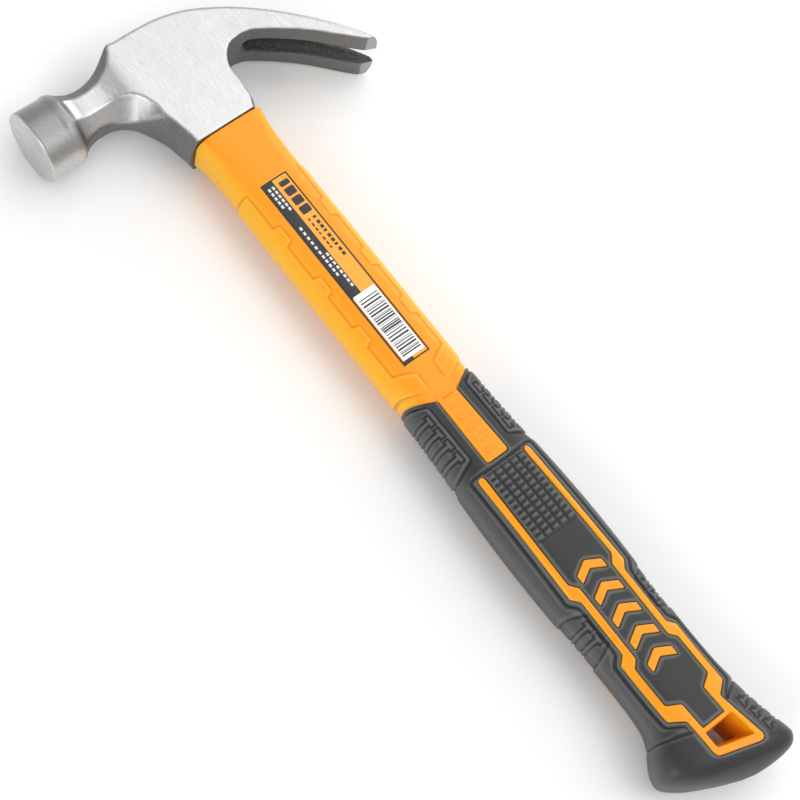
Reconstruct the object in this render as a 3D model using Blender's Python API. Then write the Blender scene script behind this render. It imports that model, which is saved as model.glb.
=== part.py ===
"""Claw hammer with a fibreglass core, a moulded jacket and a rubber grip, lying on its side.

World frame: metres, +Z up, origin at the bottom centre of the whole hammer's box. +Y runs from the butt of
the grip to the head, and +X from the striking face to the claw.

The outlines below are in millimetres in the hammer's own frame: x = 0 and z = 0 on the handle's axis, y = 0
beside the butt. The empty "hammer_frame" carries that frame into the world.
"""
import math

import bmesh
import bpy

MM = 0.001
GAP = 0.3               # clearance between pieces that touch, mm

# Head
POLL_RADIUS = 14.0
POLL_Y = 324.9          # height of the striking face's centre
FACE_X = -60.7
FACE_RADIUS = 13.2
POLL_BACK_X = -45.5
CHEEK_HALF = 11.5       # half the width across the cheeks
CLAW_TIP_HALF = 14.0    # half the width across the claw's tips
HEAD_BOTTOM_Y = 289.9
CROWN_Y = 339.8
SLOT_ROOT_X = 23.5
SLOT_ROOT_HALF = 2.7
SLOT_TIP_HALF = 3.9

# Handle
CORE_HALF = (10.0, 6.0)
CORE_BOTTOM_Y = 30.0
CORE_TOP_Y = 338.4
EYE_HALF_BOTTOM = (11.3, 7.4)
EYE_HALF_TOP = (12.2, 8.2)
JACKET_HALF = (15.1, 9.5)
SLEEVE_HALF = (12.6, 8.1)     # the jacket's inner body, under the rubber
BUTT_HALF_Z = 14.0
WALL_SURFACE = 0.15           # how far the ribs stand proud of the rubber

# Label
LABEL_HALF_X = 5.65
LABEL_Y = (181.0, 264.0)
LABEL_Z = (9.0, 9.2)
STICKER_HALF_X = 4.7
STICKER_Y = (182.6, 211.6)

# The whole hammer's box, in the hammer's own frame
CLAW_TIP_X = 65.4
BUTT_Y = -2.0

ROUND_SIDES = 40
HANDLE_SIDES = 36


# ---------------------------------------------------------------- helpers

def clear_scene():
    for old in list(bpy.data.objects):
        bpy.data.objects.remove(old, do_unlink=True)


def principled(name, colour, roughness, metallic):
    mat = bpy.data.materials.new(name)
    mat.use_nodes = True
    shader = mat.node_tree.nodes["Principled BSDF"]
    shader.inputs["Base Color"].default_value = (*colour, 1.0)
    shader.inputs["Roughness"].default_value = roughness
    shader.inputs["Metallic"].default_value = metallic
    return mat


def new_object(name, mesh_data, frame):
    mesh_data.transform(((MM, 0, 0, 0), (0, MM, 0, 0), (0, 0, MM, 0), (0, 0, 0, 1)))
    obj = bpy.data.objects.new(name, mesh_data)
    bpy.context.scene.collection.objects.link(obj)
    obj.parent = frame
    return obj


def loft(name, rings, frame):
    """A closed solid through rings of equal length, with a flat cap on each end."""
    shape = bmesh.new()
    loops = [[shape.verts.new(point) for point in ring] for ring in rings]
    count = len(rings[0])
    for low, high in zip(loops, loops[1:]):
        for i in range(count):
            j = (i + 1) % count
            shape.faces.new((low[i], low[j], high[j], high[i]))
    shape.faces.new(loops[0][::-1])
    shape.faces.new(loops[-1])
    bmesh.ops.recalc_face_normals(shape, faces=shape.faces)
    data = bpy.data.meshes.new(name)
    shape.to_mesh(data)
    shape.free()
    return new_object(name, data, frame)


def prism(name, outline, z_low, z_high, frame):
    """An outline in the XY plane, extruded between two heights."""
    return loft(name, [[(x, y, z) for x, y in outline] for z in (z_low, z_high)], frame)


def box(name, low, high, frame):
    outline = [(low[0], low[1]), (high[0], low[1]), (high[0], high[1]), (low[0], high[1])]
    return prism(name, outline, low[2], high[2], frame)


def combine(target, tool, operation):
    """Union, difference or intersection, with the tool kept as a hidden guide."""
    cut = target.modifiers.new(tool.name, "BOOLEAN")
    cut.operation = operation
    cut.solver = "EXACT"
    cut.object = tool
    tool.hide_render = True
    tool.display_type = "WIRE"


def smooth_rows(rows, steps):
    """Rows of numbers with Catmull-Rom rows put between them, steps to each span."""
    result = []
    for k in range(len(rows) - 1):
        before = rows[max(k - 1, 0)]
        start = rows[k]
        end = rows[k + 1]
        after = rows[min(k + 2, len(rows) - 1)]
        for step in range(steps):
            t = step / steps
            row = []
            for p0, p1, p2, p3 in zip(before, start, end, after):
                slope_in = (p2 - p0) / 2
                slope_out = (p3 - p1) / 2
                cube = 2 * (p1 - p2) + slope_in + slope_out
                square = 3 * (p2 - p1) - 2 * slope_in - slope_out
                row.append(((cube * t + square) * t + slope_in) * t + p1)
            result.append(tuple(row))
    result.append(rows[-1])
    return result


def superellipse(half_a, half_b, power, sides):
    """Points round a rounded rectangle, as pairs (a, b)."""
    points = []
    for i in range(sides):
        angle = 2 * math.pi * i / sides
        c = math.cos(angle)
        s = math.sin(angle)
        points.append((half_a * math.copysign(abs(c) ** (2 / power), c),
                       half_b * math.copysign(abs(s) ** (2 / power), s)))
    return points


def handle_ring(left, right, half_z, power=2.8, sides=HANDLE_SIDES):
    """A rounded section between a point on the handle's left side and one on its right."""
    mid_x = (left[0] + right[0]) / 2
    mid_y = (left[1] + right[1]) / 2
    span = ((right[0] - left[0]) / 2, (right[1] - left[1]) / 2)
    return [(mid_x + span[0] * a, mid_y + span[1] * a, b)
            for a, b in superellipse(1.0, half_z, power, sides)]


def level_ring(y, half, power=3.0, sides=HANDLE_SIDES, middle_x=0.0):
    """A rounded section square to the handle."""
    return [(middle_x + x, y, z) for x, z in superellipse(half[0], half[1], power, sides)]


def mirrored(outline):
    """An outline on the handle's other side."""
    return [(-x, y) for x, y in outline][::-1]


def offset_outline(outline, distance):
    """A counter-clockwise outline moved outwards by a distance, with mitred corners."""
    moved = []
    count = len(outline)
    for i in range(count):
        x0, y0 = outline[i - 1]
        x1, y1 = outline[i]
        x2, y2 = outline[(i + 1) % count]
        n0 = math.hypot(x1 - x0, y1 - y0)
        n1 = math.hypot(x2 - x1, y2 - y1)
        out0 = ((y1 - y0) / n0, -(x1 - x0) / n0)
        out1 = ((y2 - y1) / n1, -(x2 - x1) / n1)
        share = distance / (1 + out0[0] * out1[0] + out0[1] * out1[1])
        moved.append((x1 + (out0[0] + out1[0]) * share, y1 + (out0[1] + out1[1]) * share))
    return moved


# ---------------------------------------------------------------- head

def chamfered_ring(top, bottom, half_z, cut_top, cut_bottom):
    """An eight-sided section between a point on the head's top and one on its underside.

    Each cut is how much of the section's height and of its half width the corner takes off.
    """
    height = math.hypot(top[0] - bottom[0], top[1] - bottom[1])

    def along(distance):
        t = distance / height
        return (top[0] + (bottom[0] - top[0]) * t, top[1] + (bottom[1] - top[1]) * t)

    side = [(0, half_z - cut_top), (cut_top, half_z),
            (height - cut_bottom, half_z), (height, half_z - cut_bottom)]
    ring = [(*along(distance), z) for distance, z in side]
    return ring + [(x, y, -z) for x, y, z in ring[::-1]]


def neck_and_claw(frame):
    """The bar of the head, from behind the poll over the crown to the claw's tips."""
    # top x, top y, underside x, underside y, half width, top corner cut, underside corner cut
    rows = [
        (-47.0, 337.1, -47.0, 312.7, 12.2, 7.1, 7.1),
        (-44.6, 336.7, -44.6, 313.0, 11.8, 6.8, 6.8),
        (-42.0, 334.6, -42.0, 314.9, 10.1, 5.8, 5.8),
        (-38.5, 333.4, -38.5, 315.8, 9.2, 5.3, 5.3),
        (-34.5, 333.2, -34.0, 315.9, 9.1, 5.2, 5.2),
        (-30.0, 333.9, -29.0, 315.7, 9.3, 5.2, 5.2),
        (-26.0, 335.1, -25.0, 315.2, 10.0, 5.0, 4.5),
        (-22.0, 337.2, -21.5, 314.5, 11.1, 4.2, 3.0),
        (-19.0, 339.2, -18.8, 314.0, CHEEK_HALF, 2.4, 1.5),
        (-17.6, 339.6, -17.4, 313.5, CHEEK_HALF, 1.4, 1.0),
    ]
    crown = [
        (-8.0, CROWN_Y, -8.0, 312.5, CHEEK_HALF, 1.2, 1.0),
        (2.0, 339.2, 2.0, 312.5, CHEEK_HALF, 1.2, 1.0),
        (11.0, 337.2, 9.0, 313.5, CHEEK_HALF, 1.2, 1.0),
        (18.0, 334.3, 16.5, 315.3, CHEEK_HALF, 1.2, 1.0),
        (27.0, 329.1, 23.5, 315.6, 12.0, 1.1, 0.8),
        (36.0, 322.3, 31.0, 313.3, 12.5, 1.0, 0.8),
        (45.0, 313.9, 40.0, 307.0, 13.1, 0.9, 0.7),
        (54.0, 303.6, 50.0, 298.3, 13.7, 0.7, 0.6),
        (60.5, 294.9, 57.3, 291.3, 13.9, 0.5, 0.5),
        (63.0, 291.1, 61.0, 287.9, CLAW_TIP_HALF, 0.4, 0.4),
    ]
    tip = (CLAW_TIP_X, 286.9, 65.0, 286.4, CLAW_TIP_HALF, 0.15, 0.15)
    stations = smooth_rows(rows + crown, 2) + [tip]
    rings = [chamfered_ring(row[0:2], row[2:4], *row[4:7]) for row in stations]
    return loft("bar_body", rings, frame)


def poll(frame):
    """The turned striking end, with a bevelled rim in front and a round shoulder behind."""
    profile = [
        (FACE_X, FACE_RADIUS),
        (FACE_X + 0.25, FACE_RADIUS + 0.5),
        (FACE_X + 0.8, POLL_RADIUS),
        (POLL_BACK_X - 1.4, POLL_RADIUS - 0.4),
        (POLL_BACK_X - 0.4, POLL_RADIUS - 0.8),
        (POLL_BACK_X, POLL_RADIUS - 1.7),
        (POLL_BACK_X + 3.0, 7.0),
    ]
    rings = []
    for x, radius in profile:
        turns = [2 * math.pi * i / ROUND_SIDES for i in range(ROUND_SIDES)]
        rings.append([(x, POLL_Y + radius * math.cos(a), radius * math.sin(a)) for a in turns])
    return loft("poll", rings, frame)


def eye_housing(frame):
    """The block under the crown that holds the handle, with a bowed front and back."""
    # height, front at mid width, front at the cheek, back at the cheek, back at mid width
    rows = [
        (HEAD_BOTTOM_Y, -16.9, -14.4, 10.6, 13.0),
        (293.2, -17.5, -14.7, 12.2, 14.6),
        (298.0, -18.2, -15.0, 12.8, 15.1),
        (302.5, -19.3, -15.5, 13.2, 15.5),
        (306.5, -21.3, -16.2, 13.5, 15.8),
        (310.0, -24.4, -17.5, 13.8, 16.2),
        (312.8, -28.4, -19.0, 14.6, 17.4),
        (315.0, -32.8, -20.2, 16.4, 19.0),
        (317.5, -33.5, -21.0, 18.0, 20.0),
    ]
    rings = []
    for y, front, front_cheek, back_cheek, back in smooth_rows(rows, 2):
        side = []
        for t in (0.0, 0.35, 0.7, 1.0):
            side.append((front + (front_cheek - front) * t ** 1.7, y, CHEEK_HALF * t))
        for t in (1.0, 0.7, 0.35, 0.0):
            side.append((back + (back_cheek - back) * t ** 1.7, y, CHEEK_HALF * t))
        rings.append(side + [(x, height, -z) for x, height, z in side[-2:0:-1]])
    return loft("eye_housing", rings, frame)


def nail_slot(frame):
    """The tapering slot between the claw's tines, with a round root."""
    reach = 72.0
    outline = [(reach, SLOT_TIP_HALF), (SLOT_ROOT_X + SLOT_ROOT_HALF, SLOT_ROOT_HALF)]
    for turn in (30, 60, 90):
        angle = math.radians(turn)
        outline.append((SLOT_ROOT_X + SLOT_ROOT_HALF * (1 - math.sin(angle)),
                        SLOT_ROOT_HALF * math.cos(angle)))
    outline += [(x, -z) for x, z in outline[-2::-1]]
    return loft("nail_slot", [[(x, y, z) for x, z in outline] for y in (270.0, 345.0)], frame)


def eye_rings(grow, y_low, y_high):
    """Sections of the tapered eye at two heights, grown all round."""
    rings = []
    for y in (y_low, y_high):
        t = (y - HEAD_BOTTOM_Y) / (CROWN_Y - HEAD_BOTTOM_Y)
        half = [low + (high - low) * t + grow for low, high in zip(EYE_HALF_BOTTOM, EYE_HALF_TOP)]
        rings.append(level_ring(y, half, 2.6))
    return rings


def hammer_head(frame, steel):
    head = neck_and_claw(frame)
    head.name = "hammer_head"
    head.data.materials.append(steel)
    combine(head, poll(frame), "UNION")
    combine(head, eye_housing(frame), "UNION")
    combine(head, nail_slot(frame), "DIFFERENCE")
    combine(head, loft("eye_cut", eye_rings(0.0, 280.0, 350.0), frame), "DIFFERENCE")


# ---------------------------------------------------------------- core and bond

def fibreglass_core(frame, glass):
    rings = [level_ring(y, CORE_HALF) for y in (CORE_BOTTOM_Y, CORE_TOP_Y)]
    core = loft("fibreglass_core", rings, frame)
    core.data.materials.append(glass)


def eye_epoxy(frame, resin):
    """The resin that fills the eye round the core."""
    bond = loft("eye_epoxy", eye_rings(-GAP, HEAD_BOTTOM_Y + GAP, CORE_TOP_Y - 1.2), frame)
    bond.data.materials.append(resin)
    clear = [half + GAP for half in CORE_HALF]
    combine(bond, loft("bond_bore", [level_ring(y, clear) for y in (280.0, 350.0)], frame), "DIFFERENCE")


# ---------------------------------------------------------------- jacket and grip

def hanging_hole_outline():
    return [(-5.4, 13.6), (8.3, 9.6), (6.9, 19.9), (-5.4, 19.9)]


def hanging_hole(frame):
    """The slanted slot through the butt, with walls that close in towards the middle of the handle."""
    mouth = hanging_hole_outline()
    throat = [(-4.9, 16.2), (6.9, 12.6), (6.3, 19.4), (-4.9, 19.4)]
    outlines = [(-20.0, mouth), (-11.6, mouth), (-1.0, throat), (1.0, throat), (11.6, mouth), (20.0, mouth)]
    return loft("hanging_hole", [[(x, y, z) for x, y in outline] for z, outline in outlines], frame)


def stripe_outline():
    """The right-hand rib that shows through the grip's face, from its round top to the hanging hole."""
    inner = [(9.2, 132.4), (9.8, 86.2), (7.4, 83.0), (7.4, 53.2), (9.8, 50.6), (9.8, 34.9), (5.0, 32.0),
             (5.0, 19.0)]
    outer = [(7.6, 19.0), (7.6, 26.6), (12.5, 30.2), (12.5, 54.2), (9.8, 57.0), (9.8, 79.3), (12.2, 82.2),
             (11.4, 132.4), (10.3, 133.6)]
    return inner + outer


def hole_frame_outline():
    return [(-7.5, 12.6), (-6.4, 11.0), (7.9, 6.5), (10.0, 6.6), (10.7, 8.2), (7.6, 25.4), (5.0, 25.4),
            (5.0, 21.4), (-5.0, 21.4), (-5.0, 25.4), (-7.5, 25.4)]


def tongue_outline():
    """The strip of the jacket that runs down between the grip's upper treads."""
    return [(-4.2, 169.0), (-4.6, 137.4), (-3.4, 136.2), (3.4, 136.2), (4.6, 137.4), (4.2, 169.0)]


def chevron_outline(y):
    """One of the raised marks on the grip's face."""
    return [(-5.4, y), (0.0, y + 3.0), (5.4, y), (5.4, y + 3.4), (0.0, y + 6.4), (-5.4, y + 3.4)]


def rib_outlines():
    marks = [chevron_outline(46.0 + 9.4 * i) for i in range(5)]
    return [stripe_outline(), mirrored(stripe_outline()), hole_frame_outline(), tongue_outline(), *marks]


def border_outline(grow):
    """Everything above the pointed edge where the jacket's face meets the rubber."""
    return [(-30.0, 177.5 - grow), (0.0, 162.0 - grow), (30.0, 177.5 - grow), (30.0, 292.0), (-30.0, 292.0)]


def grip_rings(grow=0.0):
    """Sections of the grip's outside, from under the jacket's edge to the slanted butt."""
    # left x, left y, right x, right y, half thickness
    rows = [
        (-14.9, 176.0, 14.9, 176.0, 9.6),
        (-15.0, 168.0, 15.0, 168.0, 9.9),
        (-15.5, 152.0, 15.5, 152.0, 10.3),
        (-16.2, 138.5, 16.2, 138.5, 10.7),
        (-16.9, 133.0, 16.9, 133.0, 11.3),
        (-17.6, 119.0, 17.6, 119.0, 11.9),
        (-18.0, 104.0, 18.0, 104.0, 12.1),
        (-17.9, 86.0, 17.9, 86.0, 12.0),
        (-17.3, 70.0, 17.3, 70.0, 11.8),
        (-17.0, 52.0, 17.0, 52.0, 11.6),
        (-17.3, 38.0, 17.3, 38.0, 11.8),
        (-18.6, 30.5, 18.0, 30.0, 12.3),
        (-21.6, 26.0, 18.7, 24.0, 13.0),
        (-25.2, 20.8, 19.9, 17.5, 13.6),
        (-26.4, 17.0, 21.4, 10.5, BUTT_HALF_Z - grow),
        (-25.9, 14.6, 23.1, 4.6, 13.7),
        (-23.6, 12.2, 23.2, 1.6, 12.9),
        (-19.6, 9.2, 20.8, -1.0, 11.2),
        (-14.0, 6.1, 16.4, BUTT_Y, 8.4),
    ]
    return [handle_ring((row[0] - grow, row[1]), (row[2] + grow, row[3]), row[4] + grow)
            for row in smooth_rows(rows, 2)]


def jacket_body(name, frame, grow):
    """The jacket with everything grown all round: the part itself at 0, or what it clears at GAP."""
    upper_rows = [
        (HEAD_BOTTOM_Y - GAP, 15.0, 9.6),
        (277.0, 14.8, 9.4),
        (262.0, JACKET_HALF[0], JACKET_HALF[1]),
        (190.0, JACKET_HALF[0], JACKET_HALF[1]),
        (160.0, 15.3, 9.8),
    ]
    upper = [level_ring(y, (a + grow, b + grow), 2.8) for y, a, b in upper_rows]
    body = loft(name, upper, frame)
    border = prism(name + "_border", border_outline(grow), -30.0, 30.0, frame)
    combine(body, border, "INTERSECT")
    sleeve_rows = [
        (-SLEEVE_HALF[0], 200.0, SLEEVE_HALF[0], 200.0, SLEEVE_HALF[1]),
        (-SLEEVE_HALF[0], 40.0, SLEEVE_HALF[0], 40.0, SLEEVE_HALF[1]),
        (-11.5, 20.0, 13.0, 18.0, SLEEVE_HALF[1]),
        (-9.5, 10.0, 12.6, 4.4, 7.6),
    ]
    sleeve = []
    for index, (x0, y0, x1, y1, half_z) in enumerate(sleeve_rows):
        drop = grow if index == len(sleeve_rows) - 1 else 0.0
        sleeve.append(handle_ring((x0 - grow, y0 - drop), (x1 + grow, y1 - drop), half_z + grow))
    combine(body, loft(name + "_sleeve", sleeve, frame), "UNION")
    return body


def jacket_ribs(name, frame, grow):
    """The ribs on both faces. At 0 they end just proud of the rubber; grown, they run clear of it."""
    ribs = []
    for index, outline in enumerate(rib_outlines()):
        shape = offset_outline(outline, grow) if grow else outline
        rib = prism(f"{name}_{index}", shape, -18.0, 18.0, frame)
        if not grow:
            combine(rib, bpy.data.objects["grip_envelope"], "INTERSECT")
        ribs.append(rib)
    return ribs


def core_pocket(frame):
    clear = [half + GAP for half in CORE_HALF]
    return loft("core_pocket", [level_ring(y, clear) for y in (CORE_BOTTOM_Y - GAP, 300.0)], frame)


def handle_jacket(frame, plastic):
    jacket = jacket_body("handle_jacket", frame, 0.0)
    jacket.data.materials.append(plastic)
    for rib in jacket_ribs("rib", frame, 0.0):
        combine(jacket, rib, "UNION")
    combine(jacket, core_pocket(frame), "DIFFERENCE")
    combine(jacket, hanging_hole(frame), "DIFFERENCE")
    recess = box("label_recess", (-LABEL_HALF_X - GAP, LABEL_Y[0] - GAP, LABEL_Z[0] - GAP),
                 (LABEL_HALF_X + GAP, LABEL_Y[1] + GAP, 20.0), frame)
    combine(jacket, recess, "DIFFERENCE")


def rubber_grip(frame, rubber):
    grip = loft("rubber_grip", grip_rings(), frame)
    grip.data.materials.append(rubber)
    combine(grip, jacket_body("jacket_clearance", frame, GAP), "DIFFERENCE")
    for rib in jacket_ribs("window", frame, GAP):
        combine(grip, rib, "DIFFERENCE")


# ---------------------------------------------------------------- label

def label_pieces(frame, film, paper):
    """The printed film in its recess, and the barcode sticker let into it."""
    low, high = LABEL_Z
    label = box("label_film", (-LABEL_HALF_X, LABEL_Y[0], low), (LABEL_HALF_X, LABEL_Y[1], high), frame)
    label.data.materials.append(film)
    window = box("sticker_window", (-STICKER_HALF_X - GAP, STICKER_Y[0] - GAP, low - 5.0),
                 (STICKER_HALF_X + GAP, STICKER_Y[1] + GAP, high + 5.0), frame)
    combine(label, window, "DIFFERENCE")
    sticker = box("barcode_sticker", (-STICKER_HALF_X, STICKER_Y[0], low), (STICKER_HALF_X, STICKER_Y[1], high),
                  frame)
    sticker.data.materials.append(paper)


def shade_round(obj, degrees):
    obj.data.shade_smooth()
    obj.data.set_sharp_from_angle(angle=math.radians(degrees))


def main():
    clear_scene()
    frame = bpy.data.objects.new("hammer_frame", None)
    bpy.context.scene.collection.objects.link(frame)
    middle_x = (FACE_X + CLAW_TIP_X) / 2
    middle_y = (BUTT_Y + CROWN_Y) / 2
    frame.location = (-middle_x * MM, -middle_y * MM, POLL_RADIUS * MM)

    envelope = loft("grip_envelope", grip_rings(WALL_SURFACE), frame)
    envelope.hide_render = True
    envelope.display_type = "WIRE"

    hammer_head(frame, principled("forged_steel", (0.60, 0.60, 0.60), 0.35, 1.0))
    fibreglass_core(frame, principled("fibreglass", (0.80, 0.72, 0.45), 0.5, 0.0))
    eye_epoxy(frame, principled("epoxy", (0.06, 0.06, 0.06), 0.4, 0.0))
    handle_jacket(frame, principled("jacket_plastic", (0.96, 0.37, 0.03), 0.4, 0.0))
    rubber_grip(frame, principled("grip_rubber", (0.06, 0.06, 0.065), 0.6, 0.0))
    label_pieces(frame, principled("label_print", (0.03, 0.03, 0.03), 0.35, 0.0),
                 principled("sticker_paper", (0.85, 0.85, 0.85), 0.5, 0.0))
    for name in ("hammer_head", "fibreglass_core", "eye_epoxy", "handle_jacket", "rubber_grip"):
        shade_round(bpy.data.objects[name], 35)


main()
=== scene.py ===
"""Claw hammer: the finished surfaces, materials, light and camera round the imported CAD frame."""
import math

import bmesh
import bpy
import numpy as np
from mathutils import Matrix, Vector
from mathutils.bvhtree import BVHTree


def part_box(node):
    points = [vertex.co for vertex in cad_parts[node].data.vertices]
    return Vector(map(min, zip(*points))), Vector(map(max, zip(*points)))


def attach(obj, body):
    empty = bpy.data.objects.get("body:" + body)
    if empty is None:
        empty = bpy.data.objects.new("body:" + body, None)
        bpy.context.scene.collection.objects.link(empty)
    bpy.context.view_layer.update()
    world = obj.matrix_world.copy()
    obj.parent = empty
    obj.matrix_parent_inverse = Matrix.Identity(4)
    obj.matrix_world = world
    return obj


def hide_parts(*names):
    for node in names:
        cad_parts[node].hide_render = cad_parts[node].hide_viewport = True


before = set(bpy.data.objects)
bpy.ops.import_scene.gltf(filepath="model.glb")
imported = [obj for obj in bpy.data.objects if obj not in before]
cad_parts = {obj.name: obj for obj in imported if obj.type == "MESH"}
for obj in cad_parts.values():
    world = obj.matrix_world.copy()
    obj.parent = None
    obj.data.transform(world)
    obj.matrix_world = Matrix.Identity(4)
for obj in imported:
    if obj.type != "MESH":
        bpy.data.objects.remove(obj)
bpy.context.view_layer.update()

MM = 0.001

# ---- the hammer's own frame
# Outlines are in millimetres: x = 0 and z = 0 on the handle's axis, y = 0 beside the butt.
# The head's box ties that frame to the CAD.
FACE_X = -60.7              # the middle of the striking face
FACE_RADIUS = 13.2          # the flat part of the striking face
POLL_Y = 324.9              # the poll's axis
POLL_RADIUS = 14.0
POLL_BACK_X = -45.0
NECK_START_X = -48.4        # where the neck's bar begins, inside the poll
CLAW_TIP_X = 65.0
CROWN_Y = 339.8
HEAD_BOTTOM_Y = 289.9
HEAD_GAP = 0.3              # between the head and the jacket
HALF_SQRT = math.sqrt(0.5)  # scales a field whose slope is 1 along both axes
head_low, head_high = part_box("hammer_head")
ORIGIN = Vector((head_low.x - FACE_X * MM, head_high.y - CROWN_Y * MM, (head_low.z + head_high.z) / 2))


def to_world(points):
    """Millimetres in the hammer's frame to metres in the world."""
    return np.asarray(points, float) * MM + np.array(ORIGIN)


def new_object(name, data):
    obj = bpy.data.objects.new(name, data)
    bpy.context.scene.collection.objects.link(obj)
    return obj


def quick_mesh(name, points, quads):
    """A smooth object from arrays of points in millimetres and of four-sided faces."""
    data = bpy.data.meshes.new(name)
    data.vertices.add(len(points))
    data.vertices.foreach_set("co", to_world(points).astype(np.float32).ravel())
    data.loops.add(quads.size)
    data.loops.foreach_set("vertex_index", quads.astype(np.int32).ravel())
    data.polygons.add(len(quads))
    data.polygons.foreach_set("loop_start", np.arange(0, quads.size, 4, dtype=np.int32))
    data.polygons.foreach_set("use_smooth", np.full(len(quads), True))
    data.update(calc_edges=True)
    data.validate()
    return new_object(name, data)


def bmesh_object(name, shape, smooth=True):
    """An object from a bmesh whose points are in millimetres."""
    data = bpy.data.meshes.new(name)
    shape.to_mesh(data)
    shape.free()
    data.transform(Matrix.Translation(ORIGIN) @ Matrix.Scale(MM, 4))
    for face in data.polygons:
        face.use_smooth = smooth
    return new_object(name, data)


def finish_piece(obj, material, slot, *nodes):
    """Material, body, slot (not used) and the CAD nodes that a piece stands for."""
    obj.data.materials.append(material)
    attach(obj, "root")
    if nodes:
        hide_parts(*nodes)


def paint(obj, name, red, green):
    """A colour attribute that steers a material between its finishes, and towards painted shade and painted
    highlights.
    """
    layer = obj.data.color_attributes.new(name, "FLOAT_COLOR", "POINT")
    values = np.stack([red, green, np.zeros_like(red), np.ones_like(red)], axis=1)
    layer.data.foreach_set("color", values.astype(np.float32).ravel())


def smooth_rows(rows, steps):
    """Rows of numbers with Catmull-Rom rows put between them, steps to each span."""
    rows = np.asarray(rows, float)
    padded = np.vstack([rows[:1], rows, rows[-1:]])
    result = []
    for k in range(len(rows) - 1):
        p0, p1, p2, p3 = padded[k:k + 4]
        for t in np.arange(steps) / steps:
            m1 = (p2 - p0) / 2
            m2 = (p3 - p1) / 2
            cubic = 2 * (p1 - p2) + m1 + m2
            square = 3 * (p2 - p1) - 2 * m1 - m2
            result.append((cubic * t + square) * t * t + m1 * t + p1)
    result.append(rows[-1])
    return np.array(result)


def ramp(value, low, high):
    """0 below low, 1 above high, smooth between."""
    t = np.clip((value - low) / (high - low), 0, 1)
    return t * t * (3 - 2 * t)


# ---- distance fields

def curve_distance(points, x, y):
    """Distance from an open polyline, positive on the left of its direction."""
    points = np.asarray(points, float)
    best = np.full(np.broadcast(x, y).shape, 1e9)
    sign = np.ones(best.shape)
    for a, b in zip(points[:-1], points[1:]):
        dx, dy = b - a
        t = np.clip(((x - a[0]) * dx + (y - a[1]) * dy) / (dx * dx + dy * dy), 0, 1)
        d = np.hypot(x - a[0] - t * dx, y - a[1] - t * dy)
        nearer = d < best
        best = np.where(nearer, d, best)
        sign = np.where(nearer, np.sign(dx * (y - a[1]) - dy * (x - a[0])), sign)
    return best * sign


def outline_distance(outline, x, y):
    """Distance from a closed outline, negative inside."""
    points = np.asarray(outline, float)
    best = np.full(x.shape, 1e9)
    inside = np.zeros(x.shape, bool)
    for a, b in zip(points, np.roll(points, -1, axis=0)):
        dx, dy = b - a
        t = np.clip(((x - a[0]) * dx + (y - a[1]) * dy) / (dx * dx + dy * dy), 0, 1)
        best = np.minimum(best, np.hypot(x - a[0] - t * dx, y - a[1] - t * dy))
        crosses = (a[1] > y) != (b[1] > y)
        at = a[0] + (y - a[1]) * dx / (dy if dy else 1e-9)
        inside ^= crosses & (x < at)
    return np.where(inside, -best, best)


def meet(a, b, radius):
    """Intersection of two fields, with the edge rounded."""
    u = np.maximum(radius + a, 0)
    v = np.maximum(radius + b, 0)
    return np.minimum(-radius, np.maximum(a, b)) + np.hypot(u, v)


def join(a, b, radius):
    """Union of two fields, with a fillet in the corner."""
    return -meet(-a, -b, radius)


def crossings(value, axis):
    """Grid edges along an axis where a field changes sign: cells, zero points, and if it rises there."""
    near = [slice(None)] * 3
    far = [slice(None)] * 3
    near[axis] = slice(0, -1)
    far[axis] = slice(1, None)
    v0 = value[tuple(near)]
    v1 = value[tuple(far)]
    hits = np.argwhere((v0 < 0) != (v1 < 0))
    s0 = v0[tuple(hits.T)]
    s1 = v1[tuple(hits.T)]
    point = hits.astype(float)
    point[:, axis] += s0 / (s0 - s1)
    return hits, point, s0 < 0


def surface_net(field, low, high, step):
    """The zero surface of a field: points in millimetres and quads, by surface nets on a grid."""
    axes = [np.arange(a, b + step, step) for a, b in zip(low, high)]
    value = field(*np.meshgrid(*axes, indexing="ij", sparse=True))
    cells = np.array(value.shape) - 1
    total = np.zeros((cells.prod(), 3))
    count = np.zeros(cells.prod())
    sides = []
    for axis in range(3):
        hits, point, rises = crossings(value, axis)
        u, v = [k for k in range(3) if k != axis]
        keep = (hits[:, u] > 0) & (hits[:, u] < cells[u]) & (hits[:, v] > 0) & (hits[:, v] < cells[v])
        hits, point, rises = hits[keep], point[keep], rises[keep]
        corners = []
        for shift_u, shift_v in ((-1, -1), (0, -1), (0, 0), (-1, 0)):
            cell = hits.copy()
            cell[:, u] += shift_u
            cell[:, v] += shift_v
            flat = np.ravel_multi_index(cell.T, cells)
            np.add.at(total, flat, point)
            np.add.at(count, flat, 1)
            corners.append(flat)
        quad = np.stack(corners, axis=1)
        flip = rises == (axis == 1)
        quad[flip] = quad[flip][:, ::-1]
        sides.append(quad)
    quads = np.vstack(sides)
    used = np.unique(quads)
    points = total[used] / count[used][:, None] * step + np.asarray(low, float)
    return points, np.searchsorted(used, quads)


def settle(field, points, rounds=2, reach=0.02):
    """Points moved onto the field's zero surface, and the surface's normals there."""
    for _ in range(rounds):
        value = field(*points.T)
        slope = np.zeros_like(points)
        for axis in range(3):
            ahead = points.copy()
            ahead[:, axis] += reach
            slope[:, axis] = (field(*ahead.T) - value) / reach
        size = np.maximum((slope ** 2).sum(1), 0.2)
        points = points - slope * np.clip(value / size, -0.3, 0.3)[:, None]
    return points, slope / np.sqrt(size)[:, None]


# ---- head

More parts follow.
